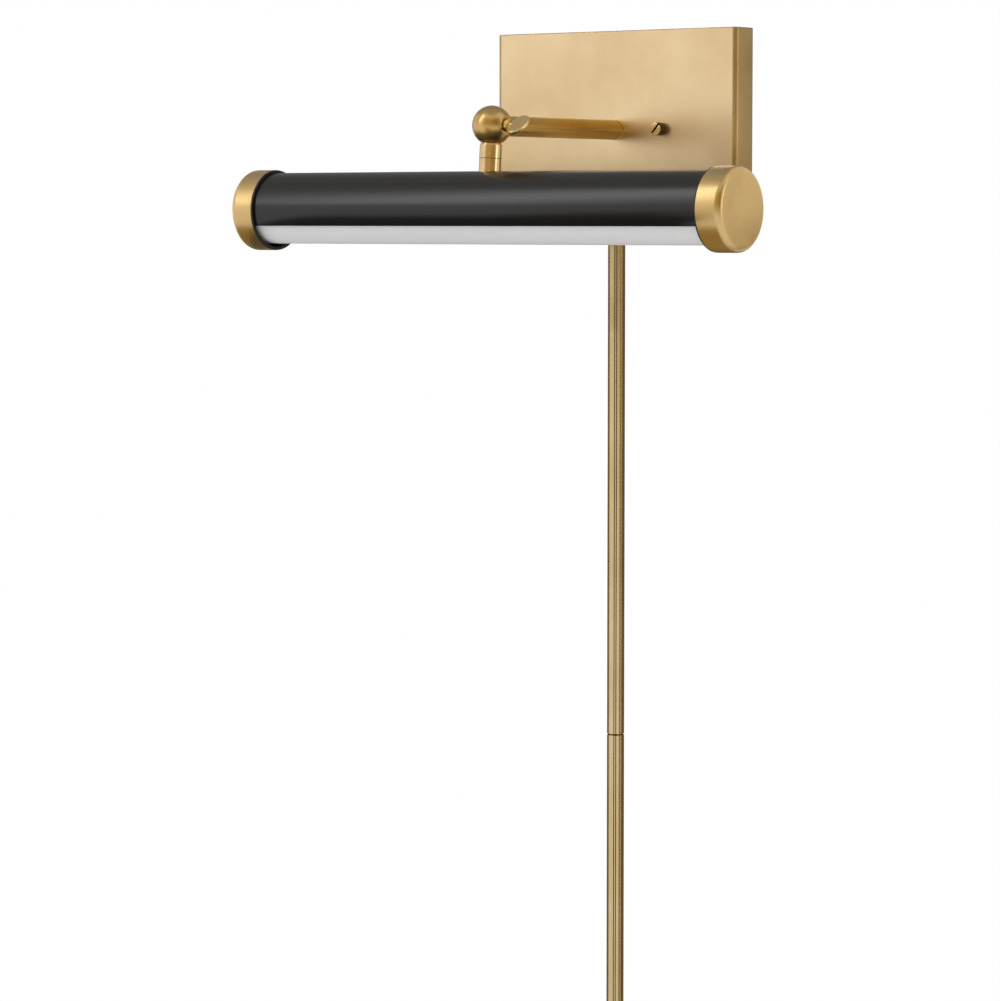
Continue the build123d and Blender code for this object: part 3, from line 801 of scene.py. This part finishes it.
opal_tree.links.new(opal_coords, opal_lines.inputs["Vector"])
drawn_lines = noise(opal_tree, opal_lines.outputs["Vector"], 1.0, 2.0, 0.5)
opal_clouds = noise(opal_tree, opal_coords, 30.0, 2.0, 0.5)
opal_tree.links.new(
    shaded(opal_tree, opal_clouds, (0.91, 0.91, 0.915), (0.94, 0.94, 0.945)),
    opal_shader.inputs["Base Color"],
)
opal_gloss = spread(opal_tree, drawn_lines, 0.3, 0.7, 0.275, 0.285)
opal_tree.links.new(opal_gloss, opal_shader.inputs["Roughness"])
opal_shader.inputs["Subsurface Weight"].default_value = 0.8
opal_shader.inputs["Subsurface Radius"].default_value = (0.008, 0.008, 0.008)
hung(settled(diffuser, tube_place), "lamp_head", "opal_acrylic", opal, "diffuser")

# Inside the head: an extruded aluminium heat sink carries the light board and its chips, and the lead
# comes down the hollow stem. None of it shows while the head is whole.
aluminium = zinc(
    "bare_aluminium", [(0.60, 0.60, 0.61), (0.68, 0.68, 0.69), (0.74, 0.74, 0.75)], roughness=0.34
)
phosphor = moulded(
    "phosphor", [(0.78, 0.62, 0.14), (0.86, 0.72, 0.22)],
    roughness=0.35, texture_scale=3000.0, relief=0.000004,
)
inside(aluminium, "heat_sink")
inside(white_plastic, "light_board")
inside(phosphor, "lights")
inside(black_plastic, "head_lead")

# End plates: moulded black discs with a lip round the tube, screwed to the heat sink. Their lips show as
# a black ring between the tube and the brass caps.
for node in ("end_plate_left", "end_plate_right"):
    dressed(node, "lamp_head", "black_plastic", black_plastic)
inside(plated_steel, "end_plate_screws")

# End caps: drawn brass cups with a rounded outer edge, spun to a satin finish and lacquered. They are
# pushed over the black end plates.
cap_radius = (cap_high.z - cap_low.z) / 2
cap_length = cap_high.x - cap_low.x
cap_wall = 0.0006
cap_round = 0.0040
cap_rim = 0.0002
cap_brass = brass(
    "cap_brass", [(0.57, 0.378, 0.132), (0.62, 0.422, 0.16), (0.672, 0.467, 0.191)],
    roughness=0.35, grain=(420, 420, 420), relief=0.0000006, patch=34.0, lacquer=0.8, brushed=0.5,
)
for side, node in ((1, "end_cap_right"), (-1, "end_cap_left")):
    cap = turned(
        node + "_cup",
        [
            (0, cap_length), (cap_radius, cap_length), (cap_radius, 0), (cap_radius - cap_wall, 0),
            (cap_radius - cap_wall, cap_length - cap_wall), (0, cap_length - cap_wall),
        ],
        160,
    )
    round_edge(cap, cap_radius, cap_length, cap_round, 14)
    round_edge(cap, cap_radius - cap_wall, cap_length - cap_wall, cap_round - cap_wall, 10)
    round_edge(cap, cap_radius, 0, cap_rim, 3)
    round_edge(cap, cap_radius - cap_wall, 0, cap_rim, 3)
    facing = Matrix.Rotation(0 if side > 0 else pi, 4, "Z") @ Matrix.Translation((cap_low.x, 0, 0))
    settled(cap, tube_place @ facing @ Matrix.Rotation(pi / 2, 4, "Y"))
    hung(cap, "lamp_head", "antique_brass", cap_brass, node)

# Turn key: a brass screw with a round shoulder and a flat oval grip. Its shank crosses the ball and the
# tongue, and turning it clamps the head.
key_shoulder_radius = 0.0038
key_shoulder_stand = 0.0022
key_shank_radius = 0.0020
key_shank_end = -0.00826
key_round = 0.0009
key_grip_half_length = 0.0066
key_grip_half_width = 0.0090
key_grip_thickness = 0.0026
key_neck_radius = 0.0017
key_turn = radians(40)
shoulder_end = key_flat + key_shoulder_stand
key = turned(
    "thumb_key_turned",
    [
        (0, key_shank_end), (key_shank_radius, key_shank_end), (key_shank_radius, key_flat - recess_depth),
        (key_shoulder_radius, key_flat - recess_depth + hole_room), (key_shoulder_radius, shoulder_end),
        (0, shoulder_end),
    ],
)
round_edge(key, key_shoulder_radius, shoulder_end, key_round, 5)
settled(key, Matrix.Rotation(pi / 2, 4, "Y"))
bpy.ops.object.select_all(action="DESELECT")
bpy.ops.mesh.primitive_cylinder_add(
    vertices=128, radius=1, depth=key_grip_thickness, scale=(key_grip_half_length, key_grip_half_width, 1)
)
grip = added("key_grip")
rounded(
    grip, key_round, 5,
    lambda edge: abs(edge.verts[0].co.z - edge.verts[1].co.z) < key_grip_thickness / 4,
)
grip_middle = shoulder_end + key_grip_half_length - close_by
settled(grip, Matrix.Translation((grip_middle, 0, 0)) @ Matrix.Rotation(key_turn, 4, "X"))
neck_end = shoulder_end + key_grip_thickness
neck_bar = rod("key_neck", key_neck_radius, (key_flat, 0, 0), (neck_end, 0, 0), 48)
for joined in (neck_bar, grip):
    modified(key, "BOOLEAN", operation="UNION", object=joined, solver="EXACT")
    bpy.data.objects.remove(joined)
settled(key, head_place)
key_brass = brass(
    "key_brass", [(0.77, 0.55, 0.23), (0.82, 0.60, 0.27), (0.87, 0.65, 0.31)],
    roughness=0.33, grain=(300, 300, 300), relief=0.0000003, patch=60.0,
)
hung(key, "key", "antique_brass", key_brass, "thumb_key")

# Studio: a pale floor that fades into a white surround, a tall soft light from the front left and a narrow
# one from the right. Plain cards show only in reflections, as a photographer sets them: grey ones overhead
# and behind, warm ones in front, and dark ones under the head and beside the cover.
floor_drop = 0.0015
floor_half = 1.6
fade_start, fade_end = 0.45, 0.75
floor_veil = 0.45
bpy.ops.object.select_all(action="DESELECT")
bpy.ops.mesh.primitive_circle_add(
    vertices=96, radius=floor_half, fill_type="NGON", location=(0, 0, cad_low.z - floor_drop)
)
floor = added("studio_floor")
floor_finish, floor_tree, floor_shader = new_finish("pale_floor")
floor_tree.nodes.remove(floor_shader)


def seen_directly(tree):
    """1 for what the camera sees, straight, in a reflection or through glass, and 0 for light."""
    path = tree.nodes.new("ShaderNodeLightPath").outputs
    total = summed(tree, path["Is Camera Ray"], path["Is Glossy Ray"])
    total = summed(tree, total, path["Is Transmission Ray"])
    total.node.use_clamp = True
    return total


floor_place = floor_tree.nodes.new("ShaderNodeTexCoord").outputs["Object"]
floor_flat = floor_tree.nodes.new("ShaderNodeVectorMath")
floor_flat.operation = "MULTIPLY"
floor_flat.inputs[1].default_value = (1, 1, 0)
floor_tree.links.new(floor_place, floor_flat.inputs[0])
floor_reach = floor_tree.nodes.new("ShaderNodeVectorMath")
floor_reach.operation = "LENGTH"
floor_tree.links.new(floor_flat.outputs["Vector"], floor_reach.inputs[0])
fade = spread(floor_tree, floor_reach.outputs["Value"], fade_start, fade_end, floor_veil, 1.0)
veil = floor_tree.nodes.new("ShaderNodeMath")
veil.operation = "MULTIPLY"
floor_tree.links.new(fade, veil.inputs[0])
floor_tree.links.new(seen_directly(floor_tree), veil.inputs[1])
floor_matt = floor_tree.nodes.new("ShaderNodeBsdfDiffuse")
floor_matt.inputs["Color"].default_value = (0.86, 0.86, 0.86, 1)
floor_glow = floor_tree.nodes.new("ShaderNodeEmission")
floor_glow.inputs["Color"].default_value = (1, 1, 1, 1)
floor_mix = floor_tree.nodes.new("ShaderNodeMixShader")
floor_tree.links.new(veil.outputs["Value"], floor_mix.inputs["Fac"])
floor_tree.links.new(floor_matt.outputs["BSDF"], floor_mix.inputs[1])
floor_tree.links.new(floor_glow.outputs["Emission"], floor_mix.inputs[2])
floor_tree.links.new(floor_mix.outputs["Shader"], floor_tree.nodes["Material Output"].inputs["Surface"])
floor.data.materials.append(floor_finish)

ambient = 0.70
world = bpy.data.worlds.new("white_surround")
bpy.context.scene.world = world
world.use_nodes = True
surround = world.node_tree.nodes["Background"]
surround.inputs["Color"].default_value = (1, 1, 1, 1)
surround_level = spread(world.node_tree, seen_directly(world.node_tree), 0.0, 1.0, ambient, 1.0)
world.node_tree.links.new(surround_level, surround.inputs["Strength"])

studio_middle = Vector((0, pivot.y, -0.05))


def from_middle(azimuth, elevation, distance):
    """A point in the studio by its bearing from the lamp: 0 is straight in front, positive to the right."""
    a, e = radians(azimuth), radians(elevation)
    return studio_middle + distance * Vector((sin(a) * cos(e), -cos(a) * cos(e), sin(e)))


def soft_light(name, azimuth, elevation, distance, width, height, brightness):
    """A rectangular soft light that faces the lamp, as bright to look at as the number says."""
    shape = bpy.data.lights.new(name, "AREA")
    shape.shape = "RECTANGLE"
    shape.size, shape.size_y = width, height
    shape.energy = brightness * pi * width * height
    light = bpy.data.objects.new(name, shape)
    light.location = from_middle(azimuth, elevation, distance)
    light.rotation_euler = (studio_middle - light.location).to_track_quat("-Z", "Y").to_euler()
    bpy.context.scene.collection.objects.link(light)


soft_light(
    "key_softbox", azimuth=-40, elevation=35, distance=2.4, width=0.32, height=1.9, brightness=5.0
)
soft_light(
    "right_strip", azimuth=102, elevation=12, distance=1.8, width=0.18, height=0.90, brightness=3.6
)


def reflected_card(name, corners, tone):
    """A plain card between four corners, which shows its tone in reflections and nowhere else."""
    bpy.ops.object.select_all(action="DESELECT")
    bpy.ops.mesh.primitive_plane_add(size=1)
    card = bpy.context.object
    card.name = name
    for point, corner in zip(card.data.vertices, corners):
        point.co = corner
    finish, _, shader = new_finish(name + "_paper")
    shader.inputs["Base Color"].default_value = (0, 0, 0, 1)
    shader.inputs["Specular IOR Level"].default_value = 0.0
    shader.inputs["Emission Color"].default_value = (*tone, 1)
    shader.inputs["Emission Strength"].default_value = 1.0
    card.data.materials.append(finish)
    card.visible_camera = card.visible_diffuse = card.visible_shadow = card.visible_transmission = False


def upright(start, end, foot, top):
    """The corners of an upright card over a line on the ground, from its foot to its top."""
    return [Vector((*point[:2], height)) for height in (foot, top) for point in (start, end)]


def level(start, end, height):
    """The corners of a card that lies level between two corners at a height."""
    return [Vector((x, y, height)) for y in (start[1], end[1]) for x in (start[0], end[0])]


reflected_card(
    "surround_card", upright(from_middle(-80, 0, 3.6), from_middle(-5, 0, 3.6), 0.45, 3.00),
    (0.60, 0.59, 0.57),
)
reflected_card(
    "front_card", upright(from_middle(-16, 0, 2.0), from_middle(42, 0, 2.0), -0.075, 1.60),
    (0.52, 0.40, 0.15),
)
reflected_card(
    "right_card", upright(from_middle(42, 0, 2.0), from_middle(90, 0, 2.0), -0.14, 1.60),
    (0.36, 0.24, 0.06),
)
reflected_card("low_card", level((-0.18, -0.25), (0.140, -0.16), -0.078), (0.12, 0.11, 0.09))
reflected_card("brown_card", level((-0.02, -0.50), (0.09, -0.25), -0.078), (0.42, 0.28, 0.08))
reflected_card("under_card", level((-0.30, -0.24), (0.17, -0.11), -0.13), (0.36, 0.27, 0.11))
reflected_card("ceiling_card", level((-1.20, -0.65), (0.45, 0.20), 0.80), (0.45, 0.44, 0.41))
reflected_card("upper_flag", upright((-0.90, 0.05), (0.15, 0.05), -0.05, 0.78), (0.34, 0.33, 0.31))
reflected_card("side_card", upright((0.15, 0.05), (0.70, 0.05), -0.30, 0.40), (0.86, 0.82, 0.72))
flag_foot, flag_top = cad_low.z - 0.1, -0.06
reflected_card("cover_flag", upright((-0.35, 0.05), (0.15, 0.05), flag_foot, flag_top), (0.18, 0.14, 0.08))
reflected_card("left_flag", upright((-0.25, -0.12), (-0.25, 0.05), flag_foot, flag_top), (0.20, 0.16, 0.10))
reflected_card("right_flag", upright((0.25, -0.06), (0.25, 0.05), flag_foot, flag_top), (0.28, 0.21, 0.11))

# Camera: the photograph's own view, from the right front at the height of the head, looking a little down
# through a long lens.
camera_place = (1.33761, -1.99157, -0.05665)
camera_dip = 4.294
camera_turn = 35.879
camera_lens = 134.77
camera_shape = bpy.data.cameras.new("photo_camera")
camera_shape.sensor_fit = "HORIZONTAL"
camera_shape.sensor_width = 36
camera_shape.lens = camera_lens
camera = bpy.data.objects.new("photo_camera", camera_shape)
camera.location = camera_place
camera.rotation_euler = (radians(90 - camera_dip), 0, radians(camera_turn))
bpy.context.scene.collection.objects.link(camera)
bpy.context.scene.camera = camera
bpy.context.scene.view_settings.view_transform = "Standard"
